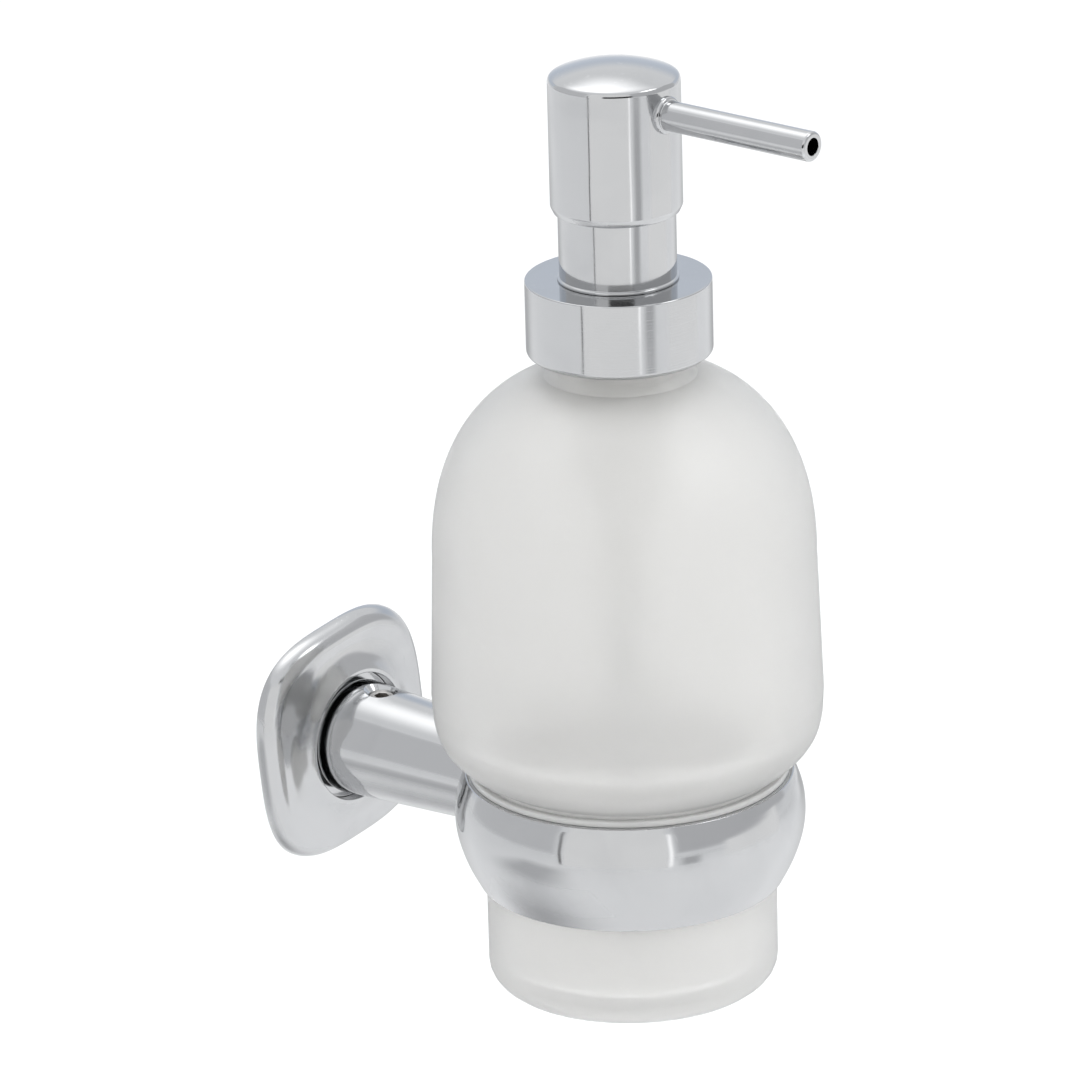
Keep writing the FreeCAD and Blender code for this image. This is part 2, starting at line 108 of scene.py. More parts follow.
def smooth_run(points, per_span=6):
    """Extra points on a soft curve through the given ones."""
    run = [Vector(p) for p in points]
    padded = [2 * run[0] - run[1]] + run + [2 * run[-1] - run[-2]]
    out = [tuple(run[0])]
    for i in range(1, len(padded) - 2):
        a, b, c, d = padded[i - 1:i + 3]
        for s in range(1, per_span + 1):
            t = s / per_span
            p = 0.5 * ((2 * b) + (c - a) * t + (2 * a - 5 * b + 4 * c - d) * t ** 2
                       + (3 * b - a - 3 * c + d) * t ** 3)
            out.append((p.x, p.y))
    return out


# %% [markdown]
# The lathe itself. Each outline point becomes a ring of vertices, and a point on the axis
# becomes a single one. The radius may change on the way round: `shape` gets the outline
# point and the angle, and gives back the radius to use.

# %% Lathe
ON_AXIS = 1e-6
SHARP_ANGLE = math.radians(32)


def around_bottle(r, h, a):
    """A point at radius r, height h and angle a around the bottle's upright axis."""
    return Vector((r * math.cos(a), AXIS_Y + r * math.sin(a), h)) * MM


def around_arm(r, h, a):
    """The same around the arm's level axis, with h measured from the wall."""
    return Vector((r * math.cos(a), -h, r * math.sin(a))) * MM


def as_piece(name, bm):
    """Make an object of a finished mesh, shaded smooth except at its sharp edges."""
    bmesh.ops.recalc_face_normals(bm, faces=bm.faces)
    mesh = bpy.data.meshes.new(name)
    bm.to_mesh(mesh)
    bm.free()
    for polygon in mesh.polygons:
        polygon.use_smooth = True
    mesh.set_sharp_from_angle(angle=SHARP_ANGLE)
    piece = bpy.data.objects.new(name, mesh)
    scene.collection.objects.link(piece)
    even = piece.modifiers.new("even_shading", "WEIGHTED_NORMAL")
    even.keep_sharp = True
    print(name, len(mesh.polygons), "faces, size mm", [round(d / MM, 2) for d in piece.dimensions])
    return piece


def turned(name, outline, place, segments=192, shape=None):
    """A closed solid of four-sided faces turned from an outline."""
    bm = bmesh.new()
    rings = []
    for r, h in outline:
        if r < ON_AXIS:
            rings.append([bm.verts.new(place(0, h, 0))])
            continue
        ring = []
        for k in range(segments):
            a = 2 * math.pi * k / segments
            ring.append(bm.verts.new(place(shape(r, h, a) if shape else r, h, a)))
        rings.append(ring)
    for i, ring in enumerate(rings):
        other = rings[(i + 1) % len(rings)]
        if len(ring) == 1 and len(other) == 1:
            continue
        for k in range(segments):
            n = (k + 1) % segments
            quad = [ring[k % len(ring)], ring[n % len(ring)],
                    other[n % len(other)], other[k % len(other)]]
            face = []
            for v in quad:
                if v not in face:
                    face.append(v)
            bm.faces.new(face)
    return as_piece(name, bm)


def stand_for(piece, node, body):
    """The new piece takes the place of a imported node."""
    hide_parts(node)
    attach(piece, body)
    return piece


# %% [markdown]
# ## The glass bottle
# A blown bottle has no sharp corner anywhere. Its wide body narrows to a foot that drops
# through the ring, and the shoulder closes over in a soft dome. The shoulder is a squashed
# ellipse, so its outline comes from a formula. The neck's thread is part of the mould, so it
# is pushed out of the same surface.

# %% Bottle outline
FOOT_R, FOOT_Z = 26.9, -32.0
SEAT_R, SEAT_Z = 28.7, 10.5
BODY_R, BODY_Z = 36.1, 25.0
SHOULDER_R, SHOULDER_Z, SHOULDER_RISE = 35.2, 51.6, 36.3
SHOULDER_SWEEP = math.radians(72.8)
SHOULDER_POWER_R, SHOULDER_POWER_Z = 2 / 2.66, 2 / 2.23
NECK_R, NECK_BORE_R, NECK_FOOT, NECK_TOP = 12.5, 10.3, 88.6, 100.1
ROWS_FROM, ROW_STEP, ROW_COUNT = 89.4, 0.15, 66
BODY_STEPS = 8
GLASS = 3.2


def shoulder(shrink, steps=36):
    """The domed shoulder, drawn in by the thickness of the glass."""
    run = []
    for i in range(1, steps + 1):
        t = SHOULDER_SWEEP * i / steps
        r = (SHOULDER_R - shrink) * math.cos(t) ** SHOULDER_POWER_R
        run.append((r, SHOULDER_Z + (SHOULDER_RISE - shrink) * math.sin(t) ** SHOULDER_POWER_Z))
    return run


outside = [(0, FOOT_Z + 0.8), (12, FOOT_Z + 0.6, 3.0), (17, FOOT_Z, 3.0), (FOOT_R, FOOT_Z, 4.5),
           (FOOT_R, SEAT_Z, 0.15), (SEAT_R, SEAT_Z, 0.2), (SEAT_R, SEAT_Z + 0.7, 0.15)]
outside += smooth_run([(SEAT_R + 0.5, SEAT_Z + 1.0), (32.0, 13.4), (34.5, 16.4), (35.7, 20.0),
                       (BODY_R, BODY_Z)])
for i in range(1, BODY_STEPS + 1):
    share = i / BODY_STEPS
    outside.append((BODY_R + (SHOULDER_R - BODY_R) * share, BODY_Z + (SHOULDER_Z - BODY_Z) * share))
outside += shoulder(0)
outside += smooth_run([(NECK_R + 0.5, NECK_FOOT - 0.9), (NECK_R, NECK_FOOT)], 3)
outside += [(NECK_R, ROWS_FROM + ROW_STEP * i) for i in range(ROW_COUNT)]
outside += [(NECK_R, NECK_TOP, 0.4)]
inside = [(NECK_BORE_R, NECK_TOP, 0.4), (NECK_BORE_R, 86.0), (NECK_BORE_R + 0.4, 84.6)]
inside += list(reversed(shoulder(GLASS)))
inside += [(SHOULDER_R - GLASS, SHOULDER_Z), (BODY_R - GLASS, BODY_Z + 3)]
inside += list(reversed(smooth_run([(FOOT_R - GLASS, SEAT_Z + 1.0), (27.4, 15.2), (31.0, 19.0),
                                    (32.6, 23.0), (BODY_R - GLASS - 0.02, BODY_Z + 2.9)])))
inside += [(FOOT_R - GLASS, FOOT_Z + 4.6, 3.0), (10, FOOT_Z + 5.4, 4.0), (0, FOOT_Z + 5.8)]
bottle_outline = [tuple(p) for p in rounded(outside + inside)]
print("bottle outline points", len(bottle_outline))

# %% [markdown]
# The thread is a ridge that climbs around the neck. At each angle the nearest turn of the ridge
# decides how far the glass stands out, and both ends of the ridge run out softly, as a mould's do.

# %% Neck thread
PITCH, THREAD_FOOT, THREAD_TURNS, THREAD_RISE = 3.0, 92.2, 1.75, 1.2
RIDGE_HALF, FLANK, RUN_OUT = 1.1, 0.75, 0.08
THREAD_LOW, THREAD_HIGH = 89.5, 99.2


def with_thread(r, h, a):
    """The radius at a point of the bottle, with the thread standing out of the neck."""
    if abs(r - NECK_R) > 0.01 or not THREAD_LOW < h < THREAD_HIGH:
        return r
    best = 0.0
    for turn in range(math.ceil(THREAD_TURNS) + 1):
        along = a / (2 * math.pi) + turn
        if along > THREAD_TURNS:
            continue
        gap = abs(h - THREAD_FOOT - PITCH * along)
        flank = min(1.0, max(0.0, (RIDGE_HALF - gap) / FLANK))
        ends = min(1.0, along / RUN_OUT, (THREAD_TURNS - along) / RUN_OUT)
        best = max(best, flank * ends)
    return r + THREAD_RISE * best


bottle = turned("frosted_bottle", bottle_outline, around_bottle, 224, with_thread)
stand_for(bottle, "glass_bottle", "bottle")

# %% [markdown]
# ## Ring and liner
# The ring is a turned brass barrel, polished round on the outside. A clear plastic liner
# sits in its bore, so that glass never touches metal. Only the liner's thin lip shows, between
# the bottle and the ring.

# %% Ring
RING_LOW, RING_FOOT_R, RING_TOP, RING_TOP_R = -11.6, 28.3, 9.3, 30.4
POCKET_R, LEDGE_R, LEDGE_Z = 28.72, 27.6, -8.0
ring_arc = smooth_run([(RING_FOOT_R, RING_LOW), (30.35, -7.6), (31.86, -3.2), (32.4, 0.6),
                       (32.15, 4.4), (31.2, 7.6), (RING_TOP_R, RING_TOP)], 7)
ring_outline = rounded([(LEDGE_R, RING_LOW, 0.2), (RING_FOOT_R, RING_LOW, 0.12)] + ring_arc[1:-1]
                       + [(RING_TOP_R, RING_TOP, 0.4), (POCKET_R, RING_TOP, 0.1),
                          (POCKET_R, LEDGE_Z), (LEDGE_R, LEDGE_Z, 0.1)])
ring = turned("chrome_ring", [tuple(p) for p in ring_outline], around_bottle, 256)
stand_for(ring, "ring_holder", "wall_holder")

# %% Liner
LINER_BORE_R, LINER_R, LIP_R, LINER_LOW = 27.7, 28.7, 29.6, -7.98
liner_outline = rounded([(LINER_BORE_R, LINER_LOW, 0.1), (LINER_R, LINER_LOW, 0.1),
                         (LINER_R, RING_TOP), (LIP_R, RING_TOP, 0.15), (LIP_R, SEAT_Z, 0.4),
                         (LINER_BORE_R, SEAT_Z, 0.25)])
liner = turned("ring_liner_lip", [tuple(p) for p in liner_outline], around_bottle, 224)
stand_for(liner, "ring_liner", "wall_holder")

# %% [markdown]
# ## Collar and sleeve
# The screw collar is a short chrome cap with a crisp top edge and a broken lower one. The sleeve
# above it is a plain tube. A fine bead at its foot makes the bright hairline where the two meet.

# %% Collar
COLLAR_BORE_R, COLLAR_HOLE_R, COLLAR_SKIN = 15.5, 10.3, 0.9
collar_outline = rounded([(COLLAR_BORE_R, COLLAR_LOW, 0.1), (COLLAR_R, COLLAR_LOW, 1.1),
                          (COLLAR_R, COLLAR_TOP, 0.25), (COLLAR_HOLE_R, COLLAR_TOP, 0.15),
                          (COLLAR_HOLE_R, COLLAR_TOP - COLLAR_SKIN),
                          (COLLAR_BORE_R, COLLAR_TOP - COLLAR_SKIN)])
collar = turned("chrome_collar", [tuple(p) for p in collar_outline], around_bottle, 224)
stand_for(collar, "collar_shell", "collar")

# %% Sleeve
low, high = box_mm("guide_sleeve")
SLEEVE_TOP, SLEEVE_R = high[2], (high[0] - low[0]) / 2
SLEEVE_BORE_R, MOUTH_R, MOUTH_SKIN = 9.62, 8.2, 1.0
BEAD_R, BEAD_H, COLLAR_GAP = SLEEVE_R + 0.35, 0.45, 0.05
foot = COLLAR_TOP + COLLAR_GAP
sleeve_outline = rounded([(SLEEVE_BORE_R, foot, 0.1), (BEAD_R, foot, 0.1),
                          (BEAD_R, foot + BEAD_H, 0.3), (SLEEVE_R, foot + BEAD_H + 0.17, 0.1),
                          (SLEEVE_R, SLEEVE_TOP, 0.6), (MOUTH_R, SLEEVE_TOP, 0.2),
                          (MOUTH_R, SLEEVE_TOP - MOUTH_SKIN),
                          (SLEEVE_BORE_R, SLEEVE_TOP - MOUTH_SKIN)])
sleeve = turned("chrome_sleeve", [tuple(p) for p in sleeve_outline], around_bottle, 192)
stand_for(sleeve, "guide_sleeve", "pump_body")

# %% [markdown]
# ## Press head and spout
# The head is a deep drawn cup with a shallow dome. A narrow shoulder runs around the dome and
# ends in a crisp line. The spout is a thin tube that is pressed into the head, with a small
# bead at its root and a softened tip.

# %% Head
low, high = box_mm("head_shell")
HEAD_LOW, HEAD_TOP, HEAD_R = low[2], high[2], (high[0] - low[0]) / 2
HEAD_BORE_R, HEAD_SKIN, RIM_Z, RIM_R = 11.0, 1.0, 143.0, 11.0
WALL_TOP, BORE_TOP = 141.7, 141.2


def dome(radius, foot, top, steps=14):
    """A shallow ball-shaped dome from its rim to the axis."""
    ball = (radius ** 2 + (top - foot) ** 2) / (2 * (top - foot))
    run = []
    for i in range(steps + 1):
        r = radius * (1 - i / steps)
        run.append((r, top - ball + math.sqrt(ball ** 2 - r ** 2)))
    return run


head_outline = [(HEAD_BORE_R, HEAD_LOW, 0.1), (HEAD_R - 0.55, HEAD_LOW, 0.25),
                (HEAD_R, HEAD_LOW + 1.2, 0.9)]
head_outline += smooth_run([(HEAD_R, WALL_TOP), (HEAD_R - 0.1, 142.15), (HEAD_R - 0.35, 142.6),
                            (RIM_R + 0.08, RIM_Z - 0.04)], 3)
head_outline += dome(RIM_R, RIM_Z, HEAD_TOP)
head_outline += list(reversed(dome(RIM_R - HEAD_SKIN, RIM_Z - HEAD_SKIN, HEAD_TOP - HEAD_SKIN)))
head_outline += [(HEAD_BORE_R, BORE_TOP)]
head = turned("press_head", [tuple(p) for p in rounded(head_outline)], around_bottle, 224)
stand_for(head, "head_shell", "head")

# %% Spout
low, high = box_mm("spout")
SPOUT_Z, SPOUT_TIP = (low[2] + high[2]) / 2, AXIS_Y - low[1]
SPOUT_R, SPOUT_BORE_R, SPOUT_ROOT = 2.75, 1.6, 11.3
ROOT_BEAD_R, ROOT_BEAD_END = 3.45, 12.7


def around_spout(r, h, a):
    """A point around the spout's level axis, with h measured outward from the bottle's axis."""
    return Vector((r * math.cos(a), AXIS_Y - h, SPOUT_Z + r * math.sin(a))) * MM


spout_outline = rounded([(SPOUT_BORE_R, SPOUT_ROOT), (ROOT_BEAD_R, SPOUT_ROOT),
                         (ROOT_BEAD_R, ROOT_BEAD_END, 0.5), (SPOUT_R, ROOT_BEAD_END, 0.15),
                         (SPOUT_R, SPOUT_TIP, 0.6), (SPOUT_BORE_R, SPOUT_TIP, 0.12)])
spout = turned("spout_tube", [tuple(p) for p in spout_outline], around_spout, 96)
stand_for(spout, "spout", "head")

# %% [markdown]
# ## Wall rosette
# The rosette is a pressed cover with a soft square outline that closes in on a round recess for
# the arm. The same lathe makes it: far out the radius follows the soft square, and further in it
# is a plain circle. The open back leaves room for the wall plate.

# %% Rosette
low, high = box_mm("rosette")
LIP = -low[1]
HALF, FACE, EDGE = 22.4, 3.9, 3.2
RECESS_R, RECESS_Y, DISH_R, HOLE_R = 12.4, 3.4, 19.2, 6.8
INNER_HALF, BACK_Y, BACK_R = HALF - 1.5, 2.4, 13.0
ROUND_TO, SQUARE_FROM = 15.5, 19.5
ROSETTE_TURN, SOFTNESS = math.radians(7), 3.1
EDGE_STEPS = 12


def soft_square(r, h, a):
    """Round near the recess, and a soft square from the rim of the dish outwards."""
    blend = min(1.0, max(0.0, (r - ROUND_TO) / (SQUARE_FROM - ROUND_TO)))
    a = a - ROSETTE_TURN
    c, s = abs(math.cos(a)), abs(math.sin(a))
    square = r / (c ** SOFTNESS + s ** SOFTNESS) ** (1 / SOFTNESS)
    return r + (square - r) * blend


rosette_outline = [(INNER_HALF, 0.0), (HALF, 0.0, 0.15)]
for i in range(EDGE_STEPS + 1):
    t = math.pi / 2 * i / EDGE_STEPS
    rosette_outline.append((HALF - EDGE + EDGE * math.cos(t), FACE - EDGE + EDGE * math.sin(t)))
rosette_outline += smooth_run([(DISH_R - 0.4, FACE + 0.01), (DISH_R - 1.8, FACE + 0.12),
                               (DISH_R - 3.2, FACE + 0.52), (DISH_R - 4.5, FACE + 1.12),
                               (DISH_R - 5.5, LIP - 0.3)], 4)
rosette_outline += [(RECESS_R + 0.75, LIP, 0.5), (RECESS_R, LIP, 0.2), (RECESS_R, RECESS_Y, 0.2),
                    (HOLE_R, RECESS_Y, 0.1), (HOLE_R, BACK_Y, 0.1), (BACK_R, BACK_Y),
                    (INNER_HALF, BACK_Y)]
rosette_outline = [tuple(p) for p in rounded(rosette_outline)]
rosette = turned("wall_rosette", rosette_outline, around_arm, 256, soft_square)
stand_for(rosette, "rosette", "wall_holder")

# %% [markdown]
# ## Return spring
# A spring is wound from wire on a mandrel, and it gets shorter when the head is pressed. A stiff
# piece can't do that, so a new coil takes the imported one's place: rings of wire carried along a
# helix.

# %% Return spring
low, high = box_mm("return_spring")
WIRE_R, COILS, PRESS_TRAVEL, SPRING_PLAY = 0.6, 7, 11.0, 0.05
COIL_R = (high[0] - low[0]) / 2 - WIRE_R
SHELF_Z, SPRING_H = low[2], high[2] - low[2] - SPRING_PLAY


def wound(name, per_turn=56, sides=16):
    """A coil of round wire that starts on the shelf and ends under the piston."""
    bm = bmesh.new()
    rings = []
    steps = COILS * per_turn
    for i in range(steps + 1):
        turn = 2 * math.pi * i / per_turn
        out = Vector((math.cos(turn), math.sin(turn), 0))
        rise = SHELF_Z + WIRE_R + (SPRING_H - 2 * WIRE_R) * i / steps
        middle = Vector((0, AXIS_Y, rise)) + out * COIL_R
        ring = []
        for k in range(sides):
            a = 2 * math.pi * k / sides
            spoke = out * math.cos(a) + Vector((0, 0, math.sin(a)))
            ring.append(bm.verts.new((middle + spoke * WIRE_R) * MM))
        rings.append(ring)
    for ring, other in zip(rings, rings[1:]):
        for k in range(sides):
            n = (k + 1) % sides
            bm.faces.new((ring[k], ring[n], other[n], other[k]))
    bm.faces.new(rings[0])
    bm.faces.new(rings[-1])
    return as_piece(name, bm)


spring = wound("coil_spring")
stand_for(spring, "return_spring", "pump_body")
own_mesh(spring)

# %% [markdown]
# ## Shared effects
# Real finishes are never even. Chrome has a film where hands wiped it, hairline scratches and
# rings left by the lathe, and moulded plastic has a fine skin. Each effect is a node group, so
# that several materials can use it with their own values. An image texture could hold the same
# marks, but a procedural one stays sharp at any distance and needs no unwrapping.


# %% Node helpers
def put(tree, kind, sockets=None, **options):
    """Add a node, set its options, and give its sockets a value or a link."""
    made = tree.nodes.new(kind)
    for option, value in options.items():
        setattr(made, option, value)
    for key, value in (sockets or {}).items():
        if isinstance(value, bpy.types.NodeSocket):
            tree.links.new(value, made.inputs[key])
        else:
            made.inputs[key].default_value = value
    return made


PLACE_AND_SCALE = [("Vector", "Vector", None), ("Scale", "Float", 200.0)]


def new_effect(name, inputs, outputs):
    """An empty node group with named sockets, ready to be filled."""
    group = bpy.data.node_groups.new(name, "ShaderNodeTree")
    for label, kind, value in inputs:
        socket = group.interface.new_socket(name=label, in_out="INPUT",
                                            socket_type="NodeSocket" + kind)
        if value is not None:
            socket.default_value = value
    for label in outputs:
        group.interface.new_socket(name=label, in_out="OUTPUT", socket_type="NodeSocketFloat")
    return group, group.nodes.new("NodeGroupInput").outputs, group.nodes.new("NodeGroupOutput").inputs


def math_node(tree, operation, a, b):
    """One step of arithmetic on two values or sockets."""
    return put(tree, "ShaderNodeMath", {0: a, 1: b}, operation=operation).outputs[0]


def spread(tree, value, low, high, to_low=0.0, to_high=1.0):
    """Carry a value from one range to another, softly and with no overshoot."""
    return put(tree, "ShaderNodeMapRange", {"Value": value, "From Min": low, "From Max": high,
                                            "To Min": to_low, "To Max": to_high},
               interpolation_type="SMOOTHSTEP").outputs["Result"]


def noise(tree, vector, scale, detail=3.0, distortion=0.0):
    """Cloudy noise from 0 to 1, most of it near the middle."""
    return put(tree, "ShaderNodeTexNoise", {"Vector": vector, "Scale": scale, "Detail": detail,
                                            "Distortion": distortion}).outputs[0]


# %% [markdown]
# Wipe marks are broad and cloudy. Hairlines are the same kind of noise, but stretched until the
# spots become streaks, and cut so high that only a few are left.

# %% Wipe marks and hairlines
def make_wipe_marks():
    group, given, out = new_effect("wipe_marks", PLACE_AND_SCALE, ["Mask"])
    cloud = noise(group, given["Vector"], given["Scale"], 5.0, 0.8)
    group.links.new(spread(group, cloud, 0.40, 0.72), out["Mask"])
    return group


def make_hairlines():
    group, given, out = new_effect("hairlines", PLACE_AND_SCALE, ["Mask"])
    total = None
    for angles in ((0.5, 0.2, 0.9), (1.2, 2.1, 0.3), (2.4, 0.9, 1.7)):
        streak = put(group, "ShaderNodeMapping", {"Vector": given["Vector"], "Rotation": angles,
                                                  "Scale": (14.0, 1.0, 0.35)}).outputs[0]
        lines = spread(group, noise(group, streak, given["Scale"], 2.0), 0.70, 0.78)
        total = lines if total is None else math_node(group, "MAXIMUM", total, lines)
    group.links.new(total, out["Mask"])
    return group


WIPE, HAIR = make_wipe_marks(), make_hairlines()

# %% [markdown]
# A lathe tool leaves rings around the axis it turned on. A one-dimensional noise along that axis
# gives rings of uneven depth, which look truer than an even wave.


# %% Turning rings and polished waviness
def make_turning_rings():
    along_axis = [("Along", "Float", 0.0), ("Rings per metre", "Float", 4000.0)]
    group, given, out = new_effect("turning_rings", along_axis, ["Height"])
    along = math_node(group, "MULTIPLY", given["Along"], given["Rings per metre"])
    rings = put(group, "ShaderNodeTexNoise", {"W": along, "Scale": 1.0, "Detail": 2.0},
                noise_dimensions="1D").outputs[0]
    group.links.new(rings, out["Height"])
    return group


def make_polish_waves():
    group, given, out = new_effect("polish_waves", PLACE_AND_SCALE, ["Height"])
    group.links.new(noise(group, given["Vector"], given["Scale"], 1.0), out["Height"])
    return group


RINGS, WAVES = make_turning_rings(), make_polish_waves()

# %% [markdown]
# Edges lose their plating first, dust settles on what faces up, and a mould or an acid bath
# leaves a grain. Pointiness tells how sharply the surface bends outward, and that finds edges.


# %% Edge wear, dust and grain
def make_edge_wear():
    group, given, out = new_effect("edge_wear", PLACE_AND_SCALE, ["Mask"])
    bend = group.nodes.new("ShaderNodeNewGeometry").outputs["Pointiness"]
    edge = spread(group, bend, 0.52, 0.62)
    broken = spread(group, noise(group, given["Vector"], given["Scale"], 4.0), 0.35, 0.65, 0.3, 1.0)
    group.links.new(math_node(group, "MULTIPLY", edge, broken), out["Mask"])
    return group


def make_settled_dust():
    group, given, out = new_effect("settled_dust", PLACE_AND_SCALE, ["Mask"])
    facing = put(group, "ShaderNodeSeparateXYZ",
                 {0: group.nodes.new("ShaderNodeNewGeometry").outputs["Normal"]}).outputs["Z"]
    specks = spread(group, noise(group, given["Vector"], given["Scale"], 3.0), 0.60, 0.74)
    group.links.new(math_node(group, "MULTIPLY", spread(group, facing, 0.55, 1.0), specks), out["Mask"])
    return group


def make_skin_grain():
    group, given, out = new_effect("skin_grain", PLACE_AND_SCALE, ["Height", "Tone"])
    fine = noise(group, given["Vector"], given["Scale"], 4.0)
    broad = noise(group, given["Vector"], math_node(group, "MULTIPLY", given["Scale"], 0.06), 3.0)
    group.links.new(fine, out["Height"])
    group.links.new(spread(group, broad, 0.3, 0.7), out["Tone"])
    return group


EDGES, DUST, GRAIN = make_edge_wear(), make_settled_dust(), make_skin_grain()
print("shared effects", sorted(g.name for g in bpy.data.node_groups))


# %% [markdown]
# ## Finishes
# A material starts the same way each time: a Principled shader, the piece's own coordinates, and
# the shared effects. Coordinates come from the object, so the marks travel with the piece.

# %% Material helpers
def new_finish(name, **fixed):
    """A material with its shader and coordinates. Values that never vary are set here."""
    material = bpy.data.materials.new(name)
    material.use_nodes = True
    tree = material.node_tree
    shader = tree.nodes["Principled BSDF"]
    for label, value in fixed.items():
        shader.inputs[label.replace("_", " ")].default_value = value
    where = tree.nodes.new("ShaderNodeTexCoord").outputs["Object"]
    return material, tree, shader, where


def use(tree, group, **sockets):
    """Place a shared effect in a material."""
    placed = tree.nodes.new("ShaderNodeGroup")
    placed.node_tree = group
    for label, value in sockets.items():
        key = label.replace("_", " ")
        if isinstance(value, bpy.types.NodeSocket):
            tree.links.new(value, placed.inputs[key])
        else:
            placed.inputs[key].default_value = value
    return placed.outputs


def tint(tree, amount, plain, marked):
    """A colour that goes from plain to marked as the amount goes from 0 to 1."""
    return put(tree, "ShaderNodeMix", {0: amount, 6: plain, 7: marked}, data_type="RGBA").outputs[2]


def relief(tree, height, depth, below=None):
    """Turn a height into a bent normal. Depth is in metres."""
    sockets = {"Height": height, "Distance": depth, "Strength": 1.0}
    if below is not None:
        sockets["Normal"] = below
    return put(tree, "ShaderNodeBump", sockets).outputs[0]


# %% [markdown]
# ## Chrome
# Decorative chrome is a thin mirror over polished nickel and brass. It gives back a little more
# than half of the light, with a cool cast. What makes it look real is what it reflects and how
# far from flat it is: each part was polished by hand on a soft wheel, so reflections bend a
# little. The turned collar keeps fine rings, and the pressed rosette is the softest of all.

# %% Chrome family
CHROME = (0.530, 0.535, 0.542, 1)
CHROME_DULL = (0.46, 0.466, 0.475, 1)
CHROME_EDGE = (0.66, 0.68, 0.70, 1)


def chrome(name, smooth, film, wave_depth, ring_depth, rings_along="Z"):
    """smooth is the cleanest roughness, film the strength of the wipe marks, depths in metres."""
    material, tree, shader, where = new_finish(name, Metallic=1.0)
    wiped = use(tree, WIPE, Vector=where, Scale=70.0)["Mask"]
    hair = use(tree, HAIR, Vector=where, Scale=260.0)["Mask"]
    worn = use(tree, EDGES, Vector=where, Scale=400.0)["Mask"]
    dust = use(tree, DUST, Vector=where, Scale=1100.0)["Mask"]
    along = put(tree, "ShaderNodeSeparateXYZ", {0: where}).outputs[rings_along]
    rings = use(tree, RINGS, Along=along, Rings_per_metre=3200.0)
    waves = use(tree, WAVES, Vector=where, Scale=85.0)["Height"]
    colour = tint(tree, math_node(tree, "MULTIPLY", wiped, film), CHROME, CHROME_DULL)
    colour = tint(tree, math_node(tree, "MULTIPLY", worn, 0.5), colour, CHROME_EDGE)
    colour = tint(tree, math_node(tree, "MULTIPLY", dust, 0.12), colour, (0.8, 0.8, 0.8, 1))
    tree.links.new(colour, shader.inputs["Base Color"])
    marks = math_node(tree, "ADD", math_node(tree, "MULTIPLY", wiped, 0.05),
                      math_node(tree, "MULTIPLY", hair, 0.10))
    marks = math_node(tree, "ADD", marks, math_node(tree, "MULTIPLY", dust, 0.15))
    tree.links.new(math_node(tree, "ADD", marks, smooth), shader.inputs["Roughness"])
    normal = relief(tree, waves, wave_depth)
    normal = relief(tree, rings["Height"], ring_depth, normal)
    tree.links.new(normal, shader.inputs["Normal"])
    return material


CHROME_POLISHED = chrome("chrome_polished", 0.07, 0.35, 0.00006, 0.0000010)
CHROME_TURNED = chrome("chrome_turned", 0.08, 0.30, 0.00004, 0.000005)
CHROME_PRESSED = chrome("chrome_pressed", 0.15, 0.45, 0.00012, 0.0000005, "Y")
print("chrome finishes", [m.name for m in (CHROME_POLISHED, CHROME_TURNED, CHROME_PRESSED)])

# %% [markdown]
# ## Frosted glass
# The bottle was dipped in acid, which eats a fine grain into the skin. Light gets in and out but
# its direction is lost, so the bottle glows evenly and the pump inside is only a pale shade. A
# rough transmission does this. A bump of glass grain alone would still let shapes show through.
# The acid only reached the outside, so the inner skin is smoother, and its lower edge shows as
# a soft line low on the bottle. Towards its outline the eye looks along the wall instead of
# across it, so the base colour is darkened a little there: a painted shade for that deeper tone.

# %% Frosted glass
# Painted shade: the deeper tone that the glass shows near its outline.
GLASS_OUTLINE_SHADE = (0.80, 0.80, 0.79, 1)


def frosted_glass(name, rough_low, rough_high):
    material, tree, shader, where = new_finish(name, Metallic=0.0, IOR=1.45,
                                               Transmission_Weight=0.62)
    grain = use(tree, GRAIN, Vector=where, Scale=2600.0)
    wiped = use(tree, WIPE, Vector=where, Scale=35.0)["Mask"]
    dust = use(tree, DUST, Vector=where, Scale=1300.0)["Mask"]
    colour = tint(tree, grain["Tone"], (0.940, 0.935, 0.920, 1), (0.960, 0.955, 0.941, 1))
    colour = tint(tree, math_node(tree, "MULTIPLY", dust, 0.10), colour, (0.9, 0.9, 0.9, 1))
    # Painted shade: the base colour turns deeper where the eye looks along the wall instead of across
    # it.
    edge_on = put(tree, "ShaderNodeLayerWeight", {"Blend": 0.5}).outputs["Facing"]
    colour = tint(tree, spread(tree, edge_on, 0.25, 0.95), colour, GLASS_OUTLINE_SHADE)
    tree.links.new(colour, shader.inputs["Base Color"])
    tree.links.new(spread(tree, wiped, 0.0, 1.0, rough_low, rough_high), shader.inputs["Roughness"])
    tree.links.new(relief(tree, grain["Height"], 0.00001), shader.inputs["Normal"])
    return material


FROSTED = frosted_glass("frosted_glass", 0.45, 0.53)
GLASS_INSIDE = frosted_glass("glass_inside", 0.12, 0.18)


# %% Two skins of the glass
def is_inside(face):
    """True for the faces that the soap touches: they look at the axis, or lie on the floor."""
    out = face.center - Vector((0, AXIS_Y * MM, face.center.z))
    on_floor = (FOOT_Z + 3) * MM < face.center.z < 0 and out.length < (FOOT_R - 2) * MM
    return out.dot(face.normal) < 0 or on_floor


bottle.data.materials.append(FROSTED)
bottle.data.materials.append(GLASS_INSIDE)
for face in bottle.data.polygons:
    face.material_index = int(is_inside(face))
print("faces inside the bottle", sum(face.material_index for face in bottle.data.polygons))

# %% [markdown]
# ## Plain metals
# The hidden fittings are not chromed. The wall plate and its post are zinc plated, which leaves a
# dull, slightly blue skin, and the screws, the spring and the balls are stainless steel.


